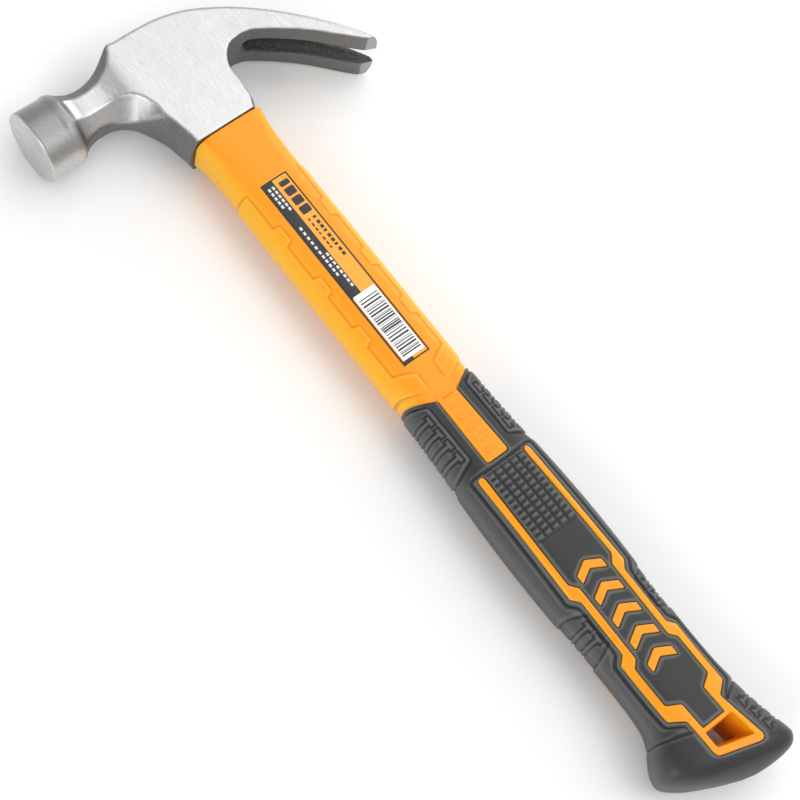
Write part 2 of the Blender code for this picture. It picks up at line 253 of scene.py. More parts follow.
# Side view, each curve from left to right.
CROWN_SADDLE = [(-52, 339.5), (-47.5, 337.6), (-44.6, 336.4), (-42, 334.7), (-38.5, 333.5), (-34.5, 333.2),
                (-30, 333.9), (-26, 335.2), (-22, 337.3), (-18.2, 339.6)]
CROWN_ARC = [(-17.6, 339.75), (-8, CROWN_Y), (2, 339.2), (11, 337.2), (18, 334.3), (27, 329.1),
             (36, 322.3), (45, 313.9), (54, 303.6), (60.5, 294.9), (65.4, 286.9), (72, 275.5)]
TOP_CURVE = np.vstack([smooth_rows(CROWN_SADDLE, 4), smooth_rows(CROWN_ARC, 4)])
CLAW_UNDERSIDE = [(12.4, 280), (13.0, 289), (14.6, 293.2), (15.2, 298), (15.5, 304), (15.8, 309),
                  (16.5, 312.4), (18.4, 314.7), (21, 315.7), (24.5, 315.9), (28, 315.1), (31, 313.5),
                  (37, 309.4), (45, 303.1), (51, 297.3), (57.3, 290.9), (60.8, 287.7)]
TIP_BEVEL = [(64.8, 286.2), (75, 282.3)]
UNDER_CURVE = np.vstack([smooth_rows(CLAW_UNDERSIDE, 4), TIP_BEVEL])
FRONT_CURVE = smooth_rows([
    (-60, 310), (-52, 310.5), (-47.5, 311.9), (-44.6, 313.2), (-42, 314.7), (-38.5, 315.7), (-34.5, 315.8),
    (-31.3, 314.9), (-28.3, 313.2), (-24.3, 310), (-21.2, 306.3), (-18.9, 302.3), (-17.7, 297.3),
    (-16.8, 292.2), (-16.1, 285), (-15.4, 278)], 4)
# Where the facets between the flanks and the front, and between the neck and the top, begin.
NECK_CREASE = smooth_rows([
    (-60, 319), (-50, 320.2), (-45, 320.9), (-35, 321), (-27, 321.1), (-23, 321.0), (0, 320.5)], 2)
CHEEK_CREASE = smooth_rows([
    (-36, 334), (-27, 324.6), (-23.6, 320.9), (-20.6, 317.2), (-18.4, 313.4), (-17.1, 309.2), (-17.2, 304),
    (-18.5, 296), (-21, 280)], 4)
UPPER_CREASE = smooth_rows([
    (-60, 332), (-50, 331.4), (-44.6, 330.3), (-40, 329), (-35, 328.6), (-30, 329.2), (-26, 330.6),
    (-22.5, 333), (-19.8, 336.2), (-17.8, 340), (-15, 345)], 4)
# Top view: x and half the bar's width.
HALF_WIDTH = smooth_rows([
    (-60, 15), (-48, 13.2), (-45.5, 12.0), (-42.5, 10.4), (-39.5, 9.4), (-36, 9.1), (-33, 9.1), (-29, 9.45),
    (-25.5, 10.2), (-22, 11.05), (-18.5, 11.45), (-14, 11.5), (17, 11.5), (27, 11.95), (36, 12.5),
    (45, 13.1), (54, 13.65), (60.5, 13.9), (68, 14)], 4)

SLOT_ROOT_X = 24.5
SLOT_CORNER = 2.2
SLOT_HALF_ON_TOP = ((26.2, 65.0), (2.5, 3.7))                           # x, half width
SLOT_FLARE = ((26.0, 33.0, 50.0, 65.0), (1.5, 2.2, 1.8, 1.0))           # x, extra half width below
SLOT_FLARE_AT_ROOT = 1.8
EYE_AT_BOTTOM = (11.3, 7.4)
EYE_AT_TOP = (12.2, 8.2)
EYE_POWER = 2.6


def poll_field(x, y, z):
    """The poll: a slightly tapered drum with a faintly crowned face, a bevelled rim and a bevelled back."""
    radius = np.hypot(y - POLL_Y, z)
    face = FACE_X + 0.0012 * radius ** 2 - x
    bevel = (FACE_X - x + radius - FACE_RADIUS) * HALF_SQRT
    drum = radius - (POLL_RADIUS - 0.03 * (x - FACE_X - 0.8))
    shoulder = (x - POLL_BACK_X + 1.3 + radius - 13.55) * HALF_SQRT
    shape = meet(meet(face, bevel, 0.12), drum, 0.3)
    return meet(meet(shape, shoulder, 0.6), x - POLL_BACK_X, 0.8)


def facet(wide, half, inside):
    """A 45-degree facet across the edge between a flank and a surface that lies at inside = 0."""
    return (wide - half + inside) * HALF_SQRT


def bar_field(x, y, z):
    """Neck, cheeks, eye housing and claw, without their holes."""
    wide = np.abs(z)
    half = np.interp(x, HALF_WIDTH[:, 0], HALF_WIDTH[:, 1])
    across = np.minimum(wide / half, 1.2) ** 2
    top_bow = (0.7 * ramp(x, -20, -14) + 0.6 * ramp(x, 15, 45)) * across
    back_bow = 2.3 * across * (1 - ramp(y, 307, 315)) * (1 - ramp(x, 17, 22))
    front_bow = 2.6 * across * (1 - ramp(y, 306, 316))
    top = curve_distance(TOP_CURVE, x, y) + top_bow
    under = -curve_distance(UNDER_CURVE, x, y) + back_bow
    front = -curve_distance(FRONT_CURVE, x, y) + front_bow
    neck_facet = facet(wide, half, -curve_distance(NECK_CREASE, x, y))
    cheek_facet = facet(wide, half, -curve_distance(CHEEK_CREASE, x, y))
    upper_facet = facet(wide, half, curve_distance(UPPER_CREASE, x, y))
    lower_facet = join(neck_facet, cheek_facet, 3.0)
    bottom = HEAD_BOTTOM_Y - y - 2 * np.maximum(x - 24, 0)
    within_poll = np.hypot(y - POLL_Y, z) - 13.5 - 2 * np.maximum(x - POLL_BACK_X + 0.6, 0)
    tip = x - CLAW_TIP_X + 0.05 * np.maximum(wide - 8, 0) ** 2
    shape = meet(meet(under, NECK_START_X - x, 0.2), tip, 0.2)
    shape = meet(shape, meet(front, lower_facet, 1.0), 0.3)
    shape = meet(shape, bottom, 0.25)
    shape = meet(shape, upper_facet, 0.35)
    shape = meet(shape, within_poll, 0.8)
    return meet(shape, meet(top, wide - half, 1.5), 0.5)


def slot_field(x, y, z):
    """The nail slot, wider at the claw's underside than on top."""
    above = np.maximum(-curve_distance(TOP_CURVE, x, y), 0)
    below = np.maximum(curve_distance(UNDER_CURVE, x, y), 0)
    depth = ramp(above / np.maximum(above + below, 0.5), 0.15, 1.0)
    half = np.interp(x, *SLOT_HALF_ON_TOP) + np.interp(x, *SLOT_FLARE) * depth
    past_root = x - SLOT_ROOT_X - SLOT_FLARE_AT_ROOT * depth - SLOT_CORNER
    past_side = np.abs(z) - half + SLOT_CORNER
    return np.hypot(np.minimum(past_root, 0), np.maximum(past_side, 0)) - SLOT_CORNER


def eye_field(x, y, z):
    """The oval eye, which opens out towards the top."""
    rise = (y - HEAD_BOTTOM_Y) / (CROWN_Y - HEAD_BOTTOM_Y)
    half_x = EYE_AT_BOTTOM[0] + (EYE_AT_TOP[0] - EYE_AT_BOTTOM[0]) * rise
    half_z = EYE_AT_BOTTOM[1] + (EYE_AT_TOP[1] - EYE_AT_BOTTOM[1]) * rise
    size = ((np.abs(x) / half_x) ** EYE_POWER + (np.abs(z) / half_z) ** EYE_POWER) ** (1 / EYE_POWER)
    return (size - 1) * half_z


def head_field(x, y, z):
    shape = join(bar_field(x, y, z), poll_field(x, y, z), 1.8)
    shape = meet(shape, -slot_field(x, y, z), 0.3)
    return meet(shape, -eye_field(x, y, z), 0.4)


def head_finish_and_shade(points, normals):
    """How bright (ground and brushed) and how dark (unground forged skin inside the slot) the steel is at
    each point, with painted shade added: deeper in the slot, in a band along the poll's drum where it faces
    up or down, and in a ring where the poll meets the neck.
    """
    x, y, z = points.T
    n_y, n_z = normals[:, 1], np.abs(normals[:, 2])
    # Inside the nail slot: unground forged skin, made darker still as painted shade between the tines.
    raw_and_shaded = ramp(-slot_field(x, y, z), -0.5, -0.2) * (1 - ramp(np.abs(z), 5.2, 6.2))
    on_neck = 1 - ramp(x, -19, -16)
    cheek = ramp(n_z, 0.74, 0.9)
    lower_neck = 0.75 * ramp(n_z, 0.35, 0.62) * on_neck * (1 - ramp(n_y, -0.1, 0.2))
    chisel = 0.45 * ramp(x, 60.6, 61.2) * ramp(-n_y, 0.82, 0.9)
    crown = ramp(n_y, 0.2, 0.5) * (1 - on_neck)
    poll = 1 - ramp(x, -46.4, -44.6)
    # Painted shade: a darker band along the poll's drum where it faces up or down.
    painted_drum_shade = 0.7 * poll * ramp(x, FACE_X + 0.5, FACE_X + 1.2) * ramp(n_z, 0.25, 0.8)
    # Painted shade: a dark ring where the back of the poll meets the neck.
    painted_crease_shade = 0.6 * np.exp(-((x - POLL_BACK_X) / 1.4) ** 2)
    bright = np.maximum.reduce([cheek, lower_neck, poll, crown, chisel])
    return bright * (1 - raw_and_shaded) * (1 - np.maximum(painted_crease_shade, painted_drum_shade)), raw_and_shaded


def make_head(material):
    step = 0.45
    points, quads = surface_net(head_field, (-62, 284, -15.3), (67, 342, 15.3), step)
    points, normals = settle(head_field, points)
    obj = quick_mesh("forged_head", points, quads)
    # The painted attribute holds how ground the steel is, with painted shade mixed in.
    paint(obj, "finish_and_shade", *head_finish_and_shade(points, normals))
    finish_piece(obj, material, "forged_steel", "hammer_head")


# ---- sections of the handle

def handle_ring(row, columns):
    """Points evenly round a section. Row: left x, y, right x, y, half thickness, squareness."""
    left = np.array((row[0], row[1]))
    right = np.array((row[2], row[3]))
    angle = np.linspace(0, 2 * np.pi, 720, endpoint=False)
    c, s = np.cos(angle), np.sin(angle)
    a = np.sign(c) * np.abs(c) ** (2 / row[5])
    b = np.sign(s) * np.abs(s) ** (2 / row[5]) * row[4]
    middle = (left + right) / 2
    span = (right - left) / 2
    ring = np.stack([middle[0] + span[0] * a, middle[1] + span[1] * a, b], axis=1)
    closed = np.vstack([ring, ring[:1]])
    length = np.concatenate([[0], np.cumsum(np.linalg.norm(np.diff(closed, axis=0), axis=1))])
    wanted = np.linspace(0, length[-1], columns, endpoint=False)
    return np.stack([np.interp(wanted, length, closed[:, k]) for k in range(3)], axis=1)


def tube_quads(rows, columns):
    """Faces of a tube of rings."""
    i = np.arange(rows - 1)[:, None] * columns
    j = np.arange(columns)[None, :]
    k = (j + 1) % columns
    corners = np.broadcast_arrays(i + j, i + k, i + columns + k, i + columns + j)
    return np.stack(corners, axis=-1).reshape(-1, 4)


def grid_normals(grid):
    """Outward normals of a tube's grid of points whose rings run from the head to the butt."""
    around = np.roll(grid, -1, axis=1) - np.roll(grid, 1, axis=1)
    along = np.gradient(grid, axis=0)
    normal = np.cross(around, along)
    outward = grid - grid.mean(axis=1, keepdims=True)
    if (normal * outward).sum() < 0:
        normal = -normal
    return normal / np.maximum(np.linalg.norm(normal, axis=2, keepdims=True), 1e-9)


def resample_rows(rows, step):
    """Smooth rows at an even spacing along the handle's middle."""
    fine = smooth_rows(rows, 12)
    middle = np.stack([(fine[:, 0] + fine[:, 2]) / 2, (fine[:, 1] + fine[:, 3]) / 2, fine[:, 4]], axis=1)
    length = np.concatenate([[0], np.cumsum(np.linalg.norm(np.diff(middle, axis=0), axis=1))])
    wanted = np.linspace(0, length[-1], int(length[-1] / step) + 1)
    return np.stack([np.interp(wanted, length, fine[:, k]) for k in range(fine.shape[1])], axis=1)


# ---- outlines on the handle's faces

def mirrored(outline):
    return [(-x, y) for x, y in outline][::-1]


def rounded(outline, radius, steps=4):
    """A closed outline with each corner replaced by an arc-like curve."""
    points = [Vector(p) for p in outline]
    result = []
    for i, corner in enumerate(points):
        before = points[i - 1] - corner
        after = points[(i + 1) % len(points)] - corner
        cut = min(radius, before.length * 0.45, after.length * 0.45)
        start = corner + before.normalized() * cut
        end = corner + after.normalized() * cut
        for t in (k / steps for k in range(steps + 1)):
            p = start.lerp(corner, t).lerp(corner.lerp(end, t), t)
            result.append((p.x, p.y))
    return result


# The right-hand stripe: its inner edge from the top down, its outer edge from the bottom up.
STRIPE_INNER = [(9.8, 86.4), (7.4, 83.2), (7.4, 53.2), (9.8, 50.6), (9.8, 34.9), (5.0, 32.0)]
STRIPE_OUTER = [(7.6, 26.6), (12.5, 30.2), (12.5, 54.2), (9.8, 57.0), (9.8, 79.3), (12.2, 82.2)]
STRIPE_TOP = [(11.4, 132.2), (11.0, 133.4), (10.2, 133.8), (9.4, 133.4), (9.0, 132.2)]
HOLE_FRAME = [(-7.5, 13.0), (-6.6, 11.2), (8.0, 6.6), (9.8, 6.5), (10.7, 8.0), (7.7, 25.0)]
HOLE_MOUTH = [(-5.4, 13.6), (8.3, 9.6), (6.9, 19.9), (-5.4, 19.9)]
HOLE_THROAT = [(-4.9, 16.2), (6.9, 12.6), (6.3, 19.4), (-4.9, 19.4)]
HOLE_CORNER = 0.6


def rectangle(x0, y0, x1, y1):
    return [(x0, y0), (x1, y0), (x1, y1), (x0, y1)]


def frame_outline():
    """Both stripes, the crossbar and the frame of the hanging hole, as one outline."""
    inner = STRIPE_INNER + [(5.0, 21.5)]
    left_side = mirrored(inner) + mirrored(STRIPE_TOP) + mirrored(STRIPE_OUTER)
    return rounded(STRIPE_TOP + inner + left_side + HOLE_FRAME + STRIPE_OUTER, 0.5, 2)


def tongue_outline():
    return rounded([(4.2, 168.0), (-4.2, 168.0), (-4.6, 136.2), (4.6, 136.2)], 1.3, 5)


def chevron_outline(y, half_width=5.4, rise=3.0, thick=3.4):
    lower = [(-half_width, y), (0.0, y + rise), (half_width, y)]
    upper = [(x, level + thick) for x, level in reversed(lower)]
    return rounded(lower + upper, 0.5, 3)


def tee_outline(x, y, reach, bar=2.1, stem=1.0, depth=1.7):
    """A sideways T: a bar at x and a stem that runs out to reach."""
    way = 1 if reach > x else -1
    return [(x, y - bar), (x + way * depth, y - bar), (x + way * depth, y - stem), (reach, y - stem),
            (reach, y + stem), (x + way * depth, y + stem), (x + way * depth, y + bar), (x, y + bar)]


CHEVRONS = [chevron_outline(46.0 + 9.4 * i) for i in range(5)]
FRAME = frame_outline()
TONGUE = tongue_outline()
# How far the ribs stand proud of the rubber's plain surface, and how deep they go.
RIB_PROUD = 0.22
RIB_DEPTH = 1.4
TONGUE_PROUD = 0.12
MARK_PROUD = 0.42
MARK_DEPTH = 0.5



# ---- rubber grip

# Left x and y, right x and y, half thickness, from the jacket to the butt.
GRIP_ROWS = [
    (-14.9, 172.5, 14.9, 172.5, 9.75),
    (-15.0, 168.0, 15.0, 168.0, 9.9),
    (-15.5, 152.0, 15.5, 152.0, 10.3),
    (-16.2, 138.5, 16.2, 138.5, 10.7),
    (-16.9, 133.0, 16.9, 133.0, 11.3),
    (-17.6, 119.0, 17.6, 119.0, 11.9),
    (-18.0, 104.0, 18.0, 104.0, 12.1),
    (-17.9, 86.0, 17.9, 86.0, 12.0),
    (-17.3, 70.0, 17.3, 70.0, 11.8),
    (-17.0, 52.0, 17.0, 52.0, 11.6),
    (-17.3, 38.0, 17.3, 38.0, 11.8),
    (-18.6, 30.5, 18.0, 30.0, 12.3),
    (-21.6, 26.0, 18.7, 24.0, 13.0),
    (-25.2, 20.8, 19.9, 17.5, 13.6),
    (-26.4, 17.0, 21.4, 10.5, 13.9),
    (-25.9, 14.6, 23.1, 4.6, 13.6),
    (-23.6, 12.2, 23.2, 1.6, 12.8),
    (-19.6, 9.2, 20.8, -1.0, 11.0),
    (-14.0, 6.1, 16.4, -1.9, 8.4),
    (-7.5, 2.9, 10.6, -1.95, 4.9),
    (-1.2, 0.2, 5.0, -1.4, 1.4),
]
GRIP_SQUARENESS = 3.1
GRIP_WIDTH = 0.965          # the share of the listed width that the grip has
PLAIN_END_ROWS = 6          # rings at the butt's end that carry no relief
PAINT_REACH = 4             # cells over which relief is compared with its surroundings


def groove(distance, width, depth):
    """A soft-edged channel where a distance is near zero."""
    return -depth * np.exp(-(distance / width) ** 2)


def step_up(distance, height, softness=0.35):
    """A raised area where a distance is negative."""
    return height * (1 - ramp(distance, -softness, softness))


# The knurled pad and its pyramids.
PAD_HALF = 8.5
PAD_LOW, PAD_HIGH = 103.8, 133.6
KNURL_PITCH = (17.0 / 5, 2.42)
# Right-hand half of the border between the front panel and the side pads, from the top down.
PANEL_EDGE = [(13.5, 134.6), (14.2, 81.4), (11.6, 77.8), (11.6, 58.6), (14.2, 55.2), (14.4, 29.4),
              (9.2, 25.6), (9.2, 21.0)]
BUTT_TREADS = ((11.8, 20.2), (12.8, 14.8), (13.8, 9.2))     # inner end and height
TREAD_GROOVE = 0.38


def knurl(x, y):
    """Rows of small pyramids."""
    u = np.abs(((x + PAD_HALF) / KNURL_PITCH[0]) % 1 - 0.5) * 2
    v = np.abs(((y - PAD_LOW) / KNURL_PITCH[1]) % 1 - 0.5) * 2
    return 1.0 * (1 - np.maximum(u, v)) - 0.35


def panel_relief(x, y, face):
    """Side pads that stand up outside the stripes, with a groove between."""
    d = outline_distance(rounded(PANEL_EDGE + mirrored(PANEL_EDGE), 1.0, 2), x, y)
    border = groove(d, 0.45, 0.55) * ramp(y, 22, 27)
    pads = 0.3 * ramp(d, 0, 1.2) * ramp(y, 27, 30) * (1 - ramp(y, 133, 136))
    return (border + pads) * face


def upper_treads(x, y, face, way):
    """A raised pad under the jacket, with four T-shaped grooves."""
    pad = [(8.7 * way, 141.0), (19 * way, 136.4), (19 * way, 169.8), (8.7 * way, 164.2)]
    d = outline_distance(rounded(pad, 0.6, 2), x, y)
    relief = step_up(d, 0.45) + groove(d - 0.5, 0.4, 0.35) * face
    for i in range(4):
        tee = tee_outline(9.9 * way, 160.2 - 5.4 * i, 30 * way)
        relief += groove(outline_distance(tee, x, y), TREAD_GROOVE, 0.55)
    return relief


def middle_treads(x, y, way):
    """A sunk pad halfway down the side, with two T-shaped grooves."""
    pad = [(9.9 * way, 63.4), (20 * way, 57.8), (20 * way, 79.8), (9.9 * way, 74.2)]
    d = outline_distance(rounded(pad, 0.6, 2), x, y)
    relief = -step_up(d, 0.45) + groove(d, 0.45, 0.35)
    for i in range(2):
        tee = tee_outline(12.0 * way, 71.4 - 5.2 * i, 30 * way, 1.9, 0.9, 1.6)
        relief += groove(outline_distance(tee, x, y), TREAD_GROOVE, 0.5)
    return relief * ramp(np.abs(x), 10.2, 11.2)


def butt_relief(x, y):
    """Slanted T-shaped grooves on the claw's side of the butt, and a crease above it on both sides."""
    relief = np.zeros_like(x)
    for start, height in BUTT_TREADS:
        tee = tee_outline(start, height, 34, 1.9, 0.9, 1.6)
        slanted = [(px, py + 0.12 * (px - start)) for px, py in tee]
        relief += groove(outline_distance(slanted, x, y), TREAD_GROOVE, 0.5)
    left_crease = curve_distance([(-34, 30.5), (-19.5, 26.8), (-8.6, 22.6)], x, y)
    right_crease = curve_distance([(8.2, 24.2), (18, 28.4), (30, 33)], x, y)
    relief += groove(left_crease, 0.45, 0.5) * (x < -8.0)
    relief += groove(right_crease, 0.45, 0.5) * (x > 8.0)
    return relief


def pad_relief(x, y, face):
    """The knurled pad with its border."""
    pad = [(PAD_HALF, PAD_LOW), (PAD_HALF, PAD_HIGH), (-PAD_HALF, PAD_HIGH), (-PAD_HALF, PAD_LOW)]
    d = outline_distance(rounded(pad, 1.2, 3), x, y)
    pyramids = np.where(d < 0, knurl(x, y) * ramp(-d, 0, 0.5), 0)
    return (pyramids + groove(d - 0.35, 0.35, 0.3)) * face


def trench_relief(x, y, face):
    """Trenches that the jacket's ribs stand in."""
    relief = np.zeros_like(x)
    for outline in [FRAME, TONGUE, *CHEVRONS]:
        d = outline_distance(outline, x, y)
        relief -= 1.1 * (1 - ramp(d, -0.05, 0.45)) * face
    return relief


def grip_relief(x, y, z):
    """How far each point of the grip's surface stands out from its plain shape, in millimetres."""
    face = ramp(np.abs(z), 1.0, 5.0)
    relief = panel_relief(x, y, face) + butt_relief(x, y) + pad_relief(x, y, face)
    relief += trench_relief(x, y, face)
    for way in (1, -1):
        relief += upper_treads(x, y, face, way) + middle_treads(x, y, way)
    return relief


def border_height(x):
    """Height of the pointed edge where the rubber meets the jacket's face."""
    return 164.0 + np.maximum(np.abs(x) - 4.0, 0) * 0.5


def make_grip_grid():
    """The grip's plain shape; its upper rings bend towards the pointed edge."""
    step = 0.36
    rows = [(left * GRIP_WIDTH, left_y, right * GRIP_WIDTH, right_y, half, GRIP_SQUARENESS)
            for left, left_y, right, right_y, half in GRIP_ROWS]
    rows = resample_rows(rows, step)
    columns = 300
    grid = np.array([handle_ring(row, columns) for row in rows])
    x, y = grid[..., 0], grid[..., 1]
    top, bend = GRIP_ROWS[0][1], 150.0
    share = np.clip((y - bend) / (top - bend), 0, 1)
    grid[..., 1] = np.where(y > bend, bend + share * (border_height(x) - bend), y)
    return grid


def blurred(values, reach):
    """A grid's running average over a square of cells."""
    shifts = range(-reach, reach + 1)
    for axis in (0, 1):
        values = sum(np.roll(values, shift, axis=axis) for shift in shifts) / len(shifts)
    return values


def rim_rings(ring, normal, turns):
    """Rings that turn a tube's open edge inwards: how far in and how far down each one lies."""
    rings = []
    for inward, down in turns:
        turned = ring - normal * inward
        turned[:, 1] -= down
        rings.append(turned)
    return np.array(rings)


def make_grip(material):
    """The rubber overmould. Returns its plain surface, which the ribs are laid on."""
    plain = make_grip_grid()
    normal = grid_normals(plain)
    relief = grip_relief(*np.moveaxis(plain, -1, 0))
    relief[-PLAIN_END_ROWS:] = 0
    grid = plain + normal * relief[..., None]
    rim = rim_rings(grid[0], normal[0], ((1.6, 0.3), (0.55, 0.0), (0.18, 0.1)))
    grid = np.vstack([rim, grid])
    rows, columns = grid.shape[:2]
    # Painted shade in grooves and painted highlights on raised edges, from how far the relief lies below or
    # above its surroundings.
    local = np.vstack([np.zeros((len(rim), columns)), relief - blurred(relief, PAINT_REACH)])
    local[-PLAIN_END_ROWS - PAINT_REACH:] = 0
    points = grid.reshape(-1, 3)
    quads = tube_quads(rows, columns)
    middle = points[quads].mean(axis=1)
    mouth = rounded(HOLE_MOUTH, HOLE_CORNER, 2)
    in_hole = outline_distance(mouth, middle[:, 0], middle[:, 1]) < 0.6
    quads = quads[~(in_hole & (np.abs(middle[:, 2]) > 4))]
    obj = quick_mesh("overmoulded_grip", points, quads[:, ::-1])
    paint(obj, "relief", ramp(-local, 0.04, 0.30).ravel(), ramp(local, 0.03, 0.22).ravel())
    close_end(obj, (rows - 1) * columns, columns)
    orient_outwards(obj)
    finish_piece(obj, material, "grip_rubber", "rubber_grip")
    return Surface(plain)


def close_end(obj, first, columns):
    """A cap over the last ring of a tube."""
    shape = bmesh.new()
    shape.from_mesh(obj.data)
    shape.verts.ensure_lookup_table()
    ring = [shape.verts[first + i] for i in range(columns)]
    shape.faces.new(ring).smooth = True
    bmesh.ops.delete(shape, geom=[v for v in shape.verts if not v.link_faces], context="VERTS")
    shape.to_mesh(obj.data)
    shape.free()


def orient_outwards(obj):
    """Normals that agree and point out."""
    shape = bmesh.new()
    shape.from_mesh(obj.data)
    bmesh.ops.recalc_face_normals(shape, faces=shape.faces)
    shape.to_mesh(obj.data)
    shape.free()


class Surface:
    """A plain surface that outlines are laid on, from the front (side 1) or from the back (side -1)."""
    START = 40.0            # where a ray starts, clear of the handle
    MISSED = 9.0            # the height that a ray off the edge is given

    def __init__(self, grid):
        quads = tube_quads(grid.shape[0], grid.shape[1])
        self.tree = BVHTree.FromPolygons([Vector(p) for p in grid.reshape(-1, 3)], quads.tolist())

    def height(self, x, y, side):
        hit = self.tree.ray_cast(Vector((x, y, self.START * side)), Vector((0, 0, -side)))[0]
        return abs(hit.z) if hit else self.MISSED


def edge_normals(edges):
    """Outward unit normals of a counter-clockwise outline's edges."""
    length = np.maximum(np.linalg.norm(edges, axis=1), 1e-9)
    return np.stack([edges[:, 1], -edges[:, 0]], 1) / length[:, None]


def offset_outline(outline, distance):
    """A counter-clockwise outline moved outwards by a distance."""
    points = np.array(outline, float)
    before = edge_normals(points - np.roll(points, 1, axis=0))
    after = edge_normals(np.roll(points, -1, axis=0) - points)
    share = distance / np.maximum(1 + (before * after).sum(1), 0.35)
    return points + (before + after) * share[:, None]


def counter_clockwise(outline):
    points = np.array(outline)
    area = (points[:, 0] * np.roll(points[:, 1], -1) - points[:, 1] * np.roll(points[:, 0], -1)).sum()
    return outline if area > 0 else outline[::-1]


def slab_wall(shape, loop, way, levels):
    """The wall of a slab round an outline (way 1) or a hole (way -1). Returns the edges of its top."""
    rings = []
    for height, inset in levels:
        moved = offset_outline(loop, inset * way)
        rings.append([shape.verts.new((p[0], p[1], height)) for p in moved])
    for low, high in zip(rings, rings[1:]):
        for i in range(len(low)):
            j = (i + 1) % len(low)
            corners = (low[i], low[j], high[j], high[i])
            shape.faces.new(corners if way > 0 else corners[::-1])
    top = rings[-1]
    return [shape.edges.get((top[i], top[(i + 1) % len(top)])) for i in range(len(top))]


def cut_into_strips(shape, faces, outline, pitches):
    """Flat faces cut along both axes, so that they can bend."""
    for axis, pitch in enumerate(pitches):
        normal = Vector((1, 0, 0)) if axis == 0 else Vector((0, 1, 0))
        values = [p[axis] for p in outline]
        at = math.ceil(min(values) / pitch) * pitch
        while at < max(values):
            faces = [f for f in faces if f.is_valid]
            geom = set(faces) | {e for f in faces for e in f.edges} | {v for f in faces for v in f.verts}
            cut = bmesh.ops.bisect_plane(shape, geom=list(geom), plane_co=normal * at, plane_no=normal,
                                         dist=1e-4)
            faces = [g for g in cut["geom"] if isinstance(g, bmesh.types.BMFace)]
            at += pitch


def lay_slab(shape, surface, outline, side, proud, depth, edge=0.3, holes=(), pitches=(1.2, 2.5)):
    """A thin slab with a rounded rim, laid on a surface: so far proud of it, and sunk so deep."""
    start = len(shape.verts)
    levels = [(-depth, 0.0), (proud - edge, 0.0), (proud - edge * 0.3, -edge * 0.3), (proud, -edge)]
    rims = slab_wall(shape, counter_clockwise(outline), 1, levels)
    for hole in holes:
        rims += slab_wall(shape, counter_clockwise(hole), -1, levels)
    filled = bmesh.ops.triangle_fill(shape, edges=rims, use_beauty=True, use_dissolve=False)
    faces = [g for g in filled["geom"] if isinstance(g, bmesh.types.BMFace)]
    cut_into_strips(shape, faces, outline, pitches)
    shape.verts.ensure_lookup_table()
    for vert in shape.verts[start:]:
        vert.co.z = side * (surface.height(vert.co.x, vert.co.y, side) + vert.co.z)


def tongue_marks():
    """Six short bars on the tongue."""
    return [rounded(rectangle(-2.5, 139.4 + 4.9 * i, 2.5, 140.9 + 4.9 * i), 0.5, 2) for i in range(6)]


def make_ribs(surface, material):
    """The jacket's ribs, tongue, marks and hanging hole, as they show through the rubber."""
    shape = bmesh.new()
    mouth = rounded(HOLE_MOUTH, HOLE_CORNER, 3)
    for side in (1, -1):
        lay_slab(shape, surface, FRAME, side, RIB_PROUD, RIB_DEPTH, holes=[mouth])
        lay_slab(shape, surface, TONGUE, side, TONGUE_PROUD, RIB_DEPTH, pitches=(1.5, 2.5))
        for outline in CHEVRONS:
            lay_slab(shape, surface, outline, side, RIB_PROUD, RIB_DEPTH)
        for outline in tongue_marks():
            lay_slab(shape, surface, outline, side, MARK_PROUD, MARK_DEPTH, edge=0.15)
    bmesh.ops.recalc_face_normals(shape, faces=shape.faces)
    obj = bmesh_object("jacket_ribs", shape)
    obj.data.set_sharp_from_angle(angle=math.radians(50))
    finish_piece(obj, material, "jacket_plastic")


def make_hole_lining(surface, material):
    """The walls of the hanging hole, closing in towards the middle of the handle."""
    mouth = rounded(HOLE_MOUTH, HOLE_CORNER, 3)
    throat = rounded(HOLE_THROAT, HOLE_CORNER, 3)
    sunk = (0.0, 0.35, 0.7, 0.93)
    rings = []
    for side, t in [(1, t) for t in sunk] + [(-1, t) for t in reversed(sunk)]:
        ring = []
        for a, b in zip(mouth, throat):
            level = surface.height(a[0], a[1], side) - 0.1
            ring.append((a[0] + (b[0] - a[0]) * t, a[1] + (b[1] - a[1]) * t, side * level * (1 - t)))
        rings.append(ring)
    grid = np.array(rings)
    obj = quick_mesh("hanging_hole_lining", grid.reshape(-1, 3), tube_quads(len(grid), len(mouth)))
    finish_piece(obj, material, "jacket_plastic")


# ---- jacket

# Height, half width, half thickness, squareness.
JACKET_ROWS = [
    (HEAD_BOTTOM_Y - HEAD_GAP, 14.6, 10.7, 4.6),
    (284.0, 14.0, 10.2, 3.8),
    (276.0, 13.85, 9.75, 3.1),
    (264.0, 13.9, 9.5, 2.8),
    (240.0, 14.0, 9.5, 2.8),
    (190.0, 14.1, 9.5, 2.8),
    (178.0, 14.1, 9.6, 2.9),
    (171.0, 13.9, 9.4, 3.1),
    (162.0, 13.5, 8.9, 3.1),
    (154.0, 13.0, 8.5, 3.1),
]


STRIP_INNER_X = 11.3
STRIP_TOP_Y = 264.2
NOTCH_TOPS = (249.0, 225.5, 203.0)
STRIP_FOOT = [(STRIP_INNER_X, 180.4), (4.1, 176.6), (4.1, 168.6), (18.0, 175.4), (20.0, STRIP_TOP_Y)]


def side_strip_outline():
    """The raised strip along the jacket's edge, with its stepped inner side and pointed foot."""
    inner = [(STRIP_INNER_X, STRIP_TOP_Y)]
    for y in NOTCH_TOPS:
        inner += [(STRIP_INNER_X, y), (9.0, y - 0.9), (9.0, y - 7.2), (STRIP_INNER_X, y - 8.2)]
    return inner + STRIP_FOOT


